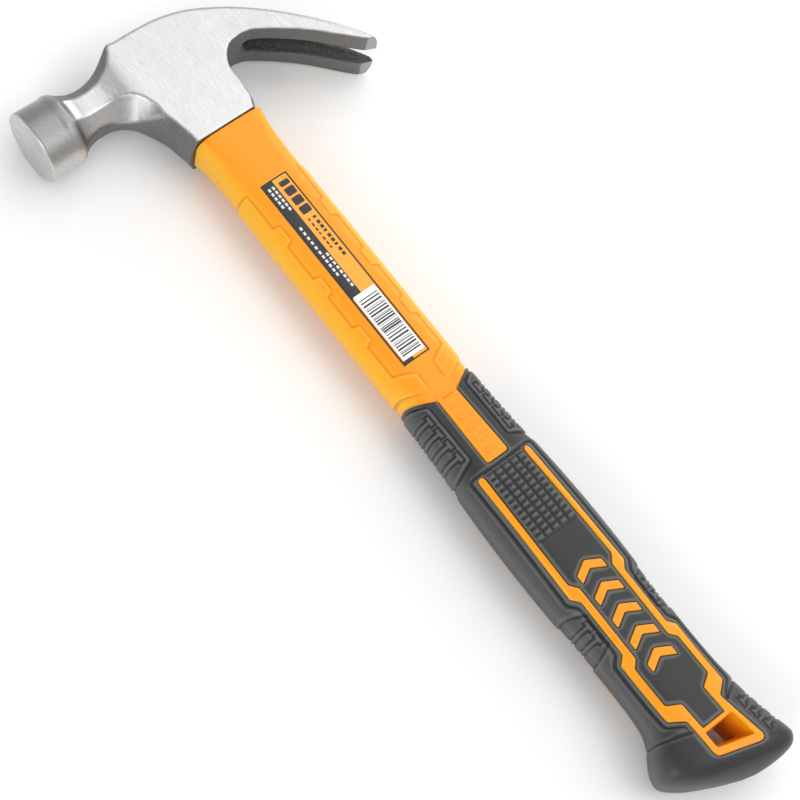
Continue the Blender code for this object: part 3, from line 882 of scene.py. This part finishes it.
def jacket_relief(x, y, z):
    """How far each point of the jacket stands out from its plain shape, in millimetres."""
    face = ramp(np.abs(z), 0.5, 3.0)
    size = np.abs(x)
    d = outline_distance(rounded(side_strip_outline(), 0.5, 2), size, y)
    relief = step_up(d, 0.34, 0.4) * (1 + 1.2 * ramp(size, 12.5, 14.5))
    relief += groove(d - 0.5, 0.4, 0.12) * face
    return relief * ramp(y, 166, 173)


def make_jacket(material):
    """The hard jacket above the rubber. Returns its plain surface, which the label is laid on."""
    step = 0.4
    columns = 260
    rows = [(-half, y, half, y, thick, power) for y, half, thick, power in JACKET_ROWS]
    plain = np.array([handle_ring(row, columns) for row in resample_rows(rows, step)])
    normal = grid_normals(plain)
    relief = jacket_relief(*np.moveaxis(plain, -1, 0))
    grid = plain + normal * relief[..., None]
    lip = rim_rings(grid[0], normal[0], ((4.0, 0.0), (0.6, 0.0), (0.15, 0.0)))
    for ring, down in zip(lip, (0.0, 0.0, 0.08)):
        ring[:, 1] = HEAD_BOTTOM_Y - HEAD_GAP / 2 - down
    # Painted shade in grooves and painted highlights on raised edges, from how far the relief lies below or
    # above its surroundings.
    local = np.vstack([np.zeros((len(lip), columns)), relief - blurred(relief, 3)])
    grid[0, :, 1] -= HEAD_GAP / 2
    grid = np.vstack([lip, grid])
    obj = quick_mesh("moulded_jacket", grid.reshape(-1, 3), tube_quads(*grid.shape[:2])[:, ::-1])
    paint(obj, "relief", ramp(-local, 0.02, 0.16).ravel(), ramp(local, 0.02, 0.16).ravel())
    orient_outwards(obj)
    finish_piece(obj, material, "jacket_plastic", "handle_jacket")
    return Surface(plain)


# ---- label

LABEL_HALF = 5.65
LABEL_LOW, LABEL_HIGH = 181.0, 264.0
LABEL_BORDER = 0.6
DARK_BAND_X = -1.0          # the right edge of the dark band down the label's left side
LABEL = rectangle(-LABEL_HALF, LABEL_LOW, LABEL_HALF, LABEL_HIGH)
STICKER = rectangle(-4.7, 182.6, 4.7, 211.6)
# How far each printed layer stands off the jacket's plain surface.
SHEET_HEIGHT = 0.10
DARK_INK_HEIGHT = 0.13
LIGHT_INK_HEIGHT = 0.17
STICKER_HEIGHT = 0.21
BAR_HEIGHT = 0.25


def lay_print(name, surface, shapes, height, material, slot, *nodes):
    """Thin printed areas that follow a surface."""
    shape = bmesh.new()
    for outline in shapes:
        lay_slab(shape, surface, outline, 1, height, 0.02, edge=0.02, pitches=(1.0, 3.0))
    bmesh.ops.recalc_face_normals(shape, faces=shape.faces)
    finish_piece(bmesh_object(name, shape, smooth=False), material, slot, *nodes)


def dashes(x, top, width, lengths, pitch):
    """A column of dashes that hang down from a height."""
    return [rectangle(x, top - pitch * i - length, x + width, top - pitch * i)
            for i, length in enumerate(lengths)]


def label_border():
    side = LABEL_HALF - LABEL_BORDER
    inside = 5.2
    return [rectangle(-LABEL_HALF, LABEL_LOW, -side, LABEL_HIGH),
            rectangle(side, LABEL_LOW, LABEL_HALF, LABEL_HIGH),
            rectangle(-inside, LABEL_LOW, inside, LABEL_LOW + LABEL_BORDER),
            rectangle(-inside, LABEL_HIGH - LABEL_BORDER, inside, LABEL_HIGH)]


def dark_print():
    """The border, the dark band, four blocks and two columns of dashes in place of words."""
    shapes = label_border()
    shapes.append(rectangle(-5.2, LABEL_LOW + 0.45, DARK_BAND_X, 182.6))
    shapes.append(rectangle(-5.2, 211.0, DARK_BAND_X, LABEL_HIGH - 0.45))
    top = 261.6
    for height in (2.2, 3.4, 3.4, 3.4):
        shapes.append(rounded(rectangle(0.4, top - height, 4.4, top), 0.6, 2))
        top -= height + 0.9
    for x, width, count in ((2.6, 1.3, 9), (0.6, 0.7, 7)):
        lengths = [1.5 if i % 3 else 1.0 for i in range(count)]
        shapes += dashes(x, 244.5, width, lengths, 2.1)
    return shapes


def light_print():
    """Columns of dashes on the dark band."""
    shapes = []
    for x, top, count, pitch in ((-4.3, 261.5, 5, 1.9), (-2.6, 261.5, 6, 1.9), (-4.1, 243.5, 6, 2.2),
                                 (-2.3, 230.5, 8, 2.0), (-4.1, 230.5, 5, 2.0)):
        shapes += dashes(x, top, 0.9, [1.3] * count, pitch)
    return shapes


def barcode_bars():
    """Bars of mixed widths across the sticker, in a fixed pseudo-random order."""
    shapes = []
    y = 184.0
    k = 7
    while y < 209.6:
        k = (k * 5 + 3) % 16
        bar = 0.22 + 0.16 * (k % 4)
        shapes.append(rectangle(-3.9, y, 4.0, y + bar))
        y += bar + 0.25 + 0.17 * (k // 4)
    return shapes


# ---- materials

class Nodes:
    """A small helper that builds a node tree."""

    def __init__(self, name):
        self.material = bpy.data.materials.new(name)
        self.material.use_nodes = True
        self.tree = self.material.node_tree
        self.shader = self.tree.nodes["Principled BSDF"]
        self.place = self.add("ShaderNodeTexCoord").outputs["Object"]

    def add(self, kind, **values):
        node = self.tree.nodes.new(kind)
        for key, value in values.items():
            setattr(node, key, value)
        return node

    def link(self, source, target):
        self.tree.links.new(source, target)

    def noise(self, scale, stretch=(1, 1, 1), detail=4.0, roughness=0.55):
        """Noise at a scale per metre, stretched by axis."""
        mapping = self.add("ShaderNodeMapping")
        mapping.inputs["Scale"].default_value = stretch
        self.link(self.place, mapping.inputs["Vector"])
        noise = self.add("ShaderNodeTexNoise")
        noise.inputs["Scale"].default_value = scale
        noise.inputs["Detail"].default_value = detail
        noise.inputs["Roughness"].default_value = roughness
        self.link(mapping.outputs["Vector"], noise.inputs["Vector"])
        return noise.outputs["Fac"]

    def map_range(self, source, from_low, from_high, to_low, to_high):
        node = self.add("ShaderNodeMapRange")
        self.link(source, node.inputs["Value"])
        for key, value in (("From Min", from_low), ("From Max", from_high), ("To Min", to_low),
                           ("To Max", to_high)):
            node.inputs[key].default_value = value
        return node.outputs["Result"]

    def mix(self, factor, first, second):
        node = self.add("ShaderNodeMix", data_type="RGBA")
        self.link(factor, node.inputs["Factor"])
        for socket, value in ((node.inputs["A"], first), (node.inputs["B"], second)):
            if isinstance(value, tuple):
                socket.default_value = (*value, 1)
            else:
                self.link(value, socket)
        return node.outputs["Result"]

    def math(self, operation, first, second):
        node = self.add("ShaderNodeMath", operation=operation)
        for socket, value in zip(node.inputs, (first, second)):
            if isinstance(value, (int, float)):
                socket.default_value = value
            else:
                self.link(value, socket)
        return node.outputs["Value"]

    def bump(self, height, strength, distance):
        node = self.add("ShaderNodeBump")
        node.inputs["Strength"].default_value = strength
        node.inputs["Distance"].default_value = distance
        self.link(height, node.inputs["Height"])
        self.link(node.outputs["Normal"], self.shader.inputs["Normal"])

    def painted(self, name):
        """The red and green of a colour attribute painted on the mesh."""
        split = self.add("ShaderNodeSeparateColor")
        attribute = self.add("ShaderNodeAttribute", attribute_name=name)
        self.link(attribute.outputs["Color"], split.inputs["Color"])
        return split.outputs["Red"], split.outputs["Green"]

    def sideways(self, low, high, top):
        """0 on the handle's front and back, up to top on its sides: a mask for painted light on the sides.
        """
        split = self.add("ShaderNodeSeparateXYZ")
        self.link(self.add("ShaderNodeNewGeometry").outputs["Normal"], split.inputs["Vector"])
        return self.map_range(self.math("ABSOLUTE", split.outputs["X"], 0), low, high, 0, top)

    def base(self, colour):
        self.link(colour, self.shader.inputs["Base Color"])

    def rough(self, source, low, high, smoothest, roughest):
        self.link(self.map_range(source, low, high, smoothest, roughest), self.shader.inputs["Roughness"])

    def set(self, **values):
        for key, value in values.items():
            self.shader.inputs[key.replace("_", " ")].default_value = value


def steel_colour(n, lines, grain, bright, raw_and_shaded):
    """Brushed, forged and unground steel, mixed by what is painted on the mesh, which also carries painted
    shade.
    """
    broad = n.noise(240, (1.0, 0.12, 1.0), 3)
    brushed = n.mix(n.map_range(lines, 0.3, 0.7, 0, 1), (0.45, 0.45, 0.45), (0.72, 0.72, 0.715))
    brushed = n.mix(n.map_range(broad, 0.35, 0.65, 0, 0.35), brushed, (0.50, 0.50, 0.505))
    forged = n.mix(n.map_range(grain, 0.3, 0.7, 0, 1), (0.10, 0.103, 0.103), (0.29, 0.295, 0.295))
    # The darkest tone: unground skin in the nail slot, and painted shade there.
    dark = n.mix(n.map_range(grain, 0.35, 0.65, 0, 1), (0.03, 0.031, 0.031), (0.15, 0.152, 0.152))
    return n.mix(bright, n.mix(raw_and_shaded, forged, dark), brushed)


def steel_material():
    """Ground and brushed on the cheeks, the top and the poll; darker forged skin on the flanks; painted
    shade in the nail slot, along the drum and at the poll's back.
    """
    n = Nodes("forged_steel_finish")
    n.set(Metallic=1.0)
    lines = n.noise(3400, (1.0, 0.055, 0.3), 5, 0.65)
    grain = n.noise(2600, (1, 1, 1), 4, 0.6)
    bright, raw_and_shaded = n.painted("finish_and_shade")
    n.base(steel_colour(n, lines, grain, bright, raw_and_shaded))
    roughness = n.add("ShaderNodeMix", data_type="FLOAT")
    n.link(bright, roughness.inputs["Factor"])
    n.link(n.map_range(grain, 0.2, 0.8, 0.42, 0.56), roughness.inputs["A"])
    n.link(n.map_range(lines, 0.2, 0.8, 0.22, 0.38), roughness.inputs["B"])
    n.link(roughness.outputs["Result"], n.shader.inputs["Roughness"])
    pitted = n.math("MULTIPLY", grain, n.map_range(bright, 0, 1, 2.2, 0.35))
    n.bump(n.math("ADD", n.math("MULTIPLY", lines, bright), pitted), 0.45, 0.00006)
    return n.material


def jacket_material():
    """Orange plastic, yellower on its sides as painted light, with painted highlights along raised edges
    and painted shade, a deeper orange, in its grooves.
    """
    n = Nodes("jacket_plastic_finish")
    cloud = n.noise(45, (1, 0.6, 1), 3)
    sunk, raised = n.painted("relief")
    tone = n.mix(cloud, (0.91, 0.305, 0.005), (0.96, 0.345, 0.008))
    # Painted light: a lighter yellow on the sides.
    tone = n.mix(n.sideways(0.3, 0.85, 1), tone, (0.97, 0.47, 0.014))
    # Painted highlight along raised edges.
    tone = n.mix(n.map_range(raised, 0, 1, 0, 0.6), tone, (1.0, 0.52, 0.05))
    # Painted shade in the grooves.
    n.base(n.mix(n.map_range(sunk, 0, 1, 0, 0.7), tone, (0.72, 0.20, 0.003)))
    n.rough(cloud, 0.3, 0.7, 0.34, 0.44)
    n.set(Subsurface_Weight=0.1, Subsurface_Scale=0.002, Specular_IOR_Level=0.35)
    n.shader.inputs["Subsurface Radius"].default_value = (1.0, 0.45, 0.12)
    n.bump(n.noise(2200, (1, 1, 1), 2), 0.12, 0.00005)
    return n.material


def rubber_material():
    """Dark rubber, greyer on its sides as a painted sheen, with painted highlights along raised edges and
    painted shade, nearly black, in its grooves.
    """
    n = Nodes("grip_rubber_finish")
    cloud = n.noise(35, (1, 0.7, 1), 3)
    grain = n.noise(2600, (1, 1, 1), 3, 0.6)
    sunk, raised = n.painted("relief")
    tone = n.mix(cloud, (0.022, 0.0225, 0.0235), (0.036, 0.037, 0.038))
    # Painted sheen: a greyer tone on the sides.
    tone = n.mix(n.sideways(0.4, 0.9, 0.9), tone, (0.075, 0.077, 0.08))
    # Painted highlight along raised edges.
    tone = n.mix(n.map_range(raised, 0, 1, 0, 0.8), tone, (0.12, 0.122, 0.125))
    # Painted shade, nearly black, in the grooves.
    n.base(n.mix(sunk, tone, (0.009, 0.009, 0.009)))
    n.rough(grain, 0.25, 0.75, 0.32, 0.48)
    n.set(Specular_IOR_Level=0.36)
    n.bump(grain, 0.4, 0.00008)
    return n.material


def plain_material(name, first, second, scale, roughness, bump=0.1):
    """Two close tones in a fine cloud, with a slight grain."""
    n = Nodes(name)
    cloud = n.noise(scale, (1, 1, 1), 3)
    n.base(n.mix(cloud, first, second))
    n.rough(cloud, 0.3, 0.7, roughness - 0.05, roughness + 0.05)
    n.bump(cloud, bump, 0.00004)
    return n.material


def fibreglass_material():
    """Straw-coloured resin with fibres along the rod."""
    n = Nodes("fibreglass_finish")
    fibres = n.noise(2500, (1, 0.02, 1), 3)
    n.base(n.mix(fibres, (0.62, 0.55, 0.30), (0.84, 0.78, 0.55)))
    n.rough(fibres, 0.3, 0.7, 0.4, 0.6)
    n.bump(fibres, 0.3, 0.00006)
    return n.material


def restyle(node, material):
    """A new material on a CAD node that stays in the picture."""
    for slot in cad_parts[node].material_slots:
        slot.material = material


# ---- floor, light and camera

def make_stage():
    """A pale floor just under the hammer."""
    size = 6.0
    shape = bmesh.new()
    corners = [(-size, -size, 0), (size, -size, 0), (size, size, 0), (-size, size, 0)]
    shape.faces.new([shape.verts.new(c) for c in corners])
    data = bpy.data.meshes.new("studio_floor")
    shape.to_mesh(data)
    shape.free()
    data.materials.append(plain_material("floor_paper", (0.93,) * 3, (0.94,) * 3, 3, 0.9, 0))
    floor = new_object("studio_floor", data)
    floor.location.z = -0.0002


def area_light(name, place, size, power):
    """A soft rectangular light that faces the hammer."""
    data = bpy.data.lights.new(name, "AREA")
    data.shape = "RECTANGLE"
    data.size, data.size_y = size
    data.energy = power
    light = new_object(name, data)
    light.location = place
    light.rotation_euler = (-Vector(place)).to_track_quat("-Z", "Y").to_euler()


def make_lights():
    world = bpy.data.worlds.new("studio")
    world.use_nodes = True
    world.node_tree.nodes["Background"].inputs["Color"].default_value = (1, 1, 1, 1)
    world.node_tree.nodes["Background"].inputs["Strength"].default_value = 0.64
    bpy.context.scene.world = world
    area_light("key", place=(0.95, -0.3, 1.6), size=(1.7, 1.7), power=8.5)
    area_light("high_box", place=(0.51, 0.73, 1.45), size=(1.05, 1.05), power=3.0)
    area_light("low_box", place=(0.51, -0.94, 1.33), size=(0.9, 0.9), power=4.5)
    area_light("left_box", place=(-1.5, -0.4, 1.0), size=(1.0, 1.0), power=8)
    area_light("right_strip", place=(1.3, 0.5, 0.5), size=(1.2, 0.5), power=5)


# The camera looks down on the labelled side, from ahead of the striking face. Millimetres.
CAMERA_PLACE = (-270.0, 21.27, 750.0)
CAMERA_TARGET = (-11.37, 174.15, 0.0)
CAMERA_ROLL = 38.68
CAMERA_LENS = 104.25


def make_camera():
    data = bpy.data.cameras.new("photo_view")
    data.lens = CAMERA_LENS
    data.sensor_width = 36.0
    camera = new_object("photo_view", data)
    place = Vector(to_world(CAMERA_PLACE))
    forward = (Vector(to_world(CAMERA_TARGET)) - place).normalized()
    up = (Vector((0, 1, 0)) - forward * forward.y).normalized()
    up = Matrix.Rotation(math.radians(CAMERA_ROLL), 3, forward) @ up
    right = forward.cross(up)
    turn = Matrix((right, up, -forward)).transposed()
    camera.matrix_world = Matrix.Translation(place) @ turn.to_4x4()
    bpy.context.scene.camera = camera


# ---- assembly

def make_label(surface):
    """The label's sheet and inks, and the white sticker with its bars."""
    lay_print("label_sheet", surface, [LABEL], SHEET_HEIGHT,
              plain_material("label_ground", (0.96, 0.36, 0.020), (1.0, 0.40, 0.026), 60, 0.32, 0.05),
              "label_print", "label_film")
    lay_print("label_dark_print", surface, dark_print(), DARK_INK_HEIGHT,
              plain_material("label_ink", (0.012, 0.012, 0.014), (0.022, 0.022, 0.024), 90, 0.35, 0.05),
              "label_print")
    lay_print("label_light_print", surface, light_print(), LIGHT_INK_HEIGHT,
              plain_material("label_light_ink", (0.72, 0.72, 0.70), (0.80, 0.80, 0.78), 90, 0.4, 0.05),
              "label_print")
    lay_print("barcode_patch", surface, [STICKER], STICKER_HEIGHT,
              plain_material("sticker_paper_finish", (0.86, 0.86, 0.85), (0.92, 0.92, 0.91), 300, 0.55),
              "sticker_paper", "barcode_sticker")
    lay_print("barcode_print", surface, barcode_bars(), BAR_HEIGHT,
              plain_material("barcode_ink", (0.012,) * 3, (0.02,) * 3, 90, 0.45, 0.05), "sticker_paper")


steel = steel_material()
plastic = jacket_material()
rubber = rubber_material()
make_head(steel)
jacket_surface = make_jacket(plastic)
grip_surface = make_grip(rubber)
make_ribs(grip_surface, plastic)
make_hole_lining(grip_surface, plastic)
make_label(jacket_surface)
restyle("fibreglass_core", fibreglass_material())
epoxy = plain_material("epoxy_finish", (0.015, 0.015, 0.016), (0.03, 0.03, 0.032), 500, 0.35, 0.3)
restyle("eye_epoxy", epoxy)

make_stage()
make_lights()
make_camera()
bpy.context.scene.view_settings.view_transform = "Standard"
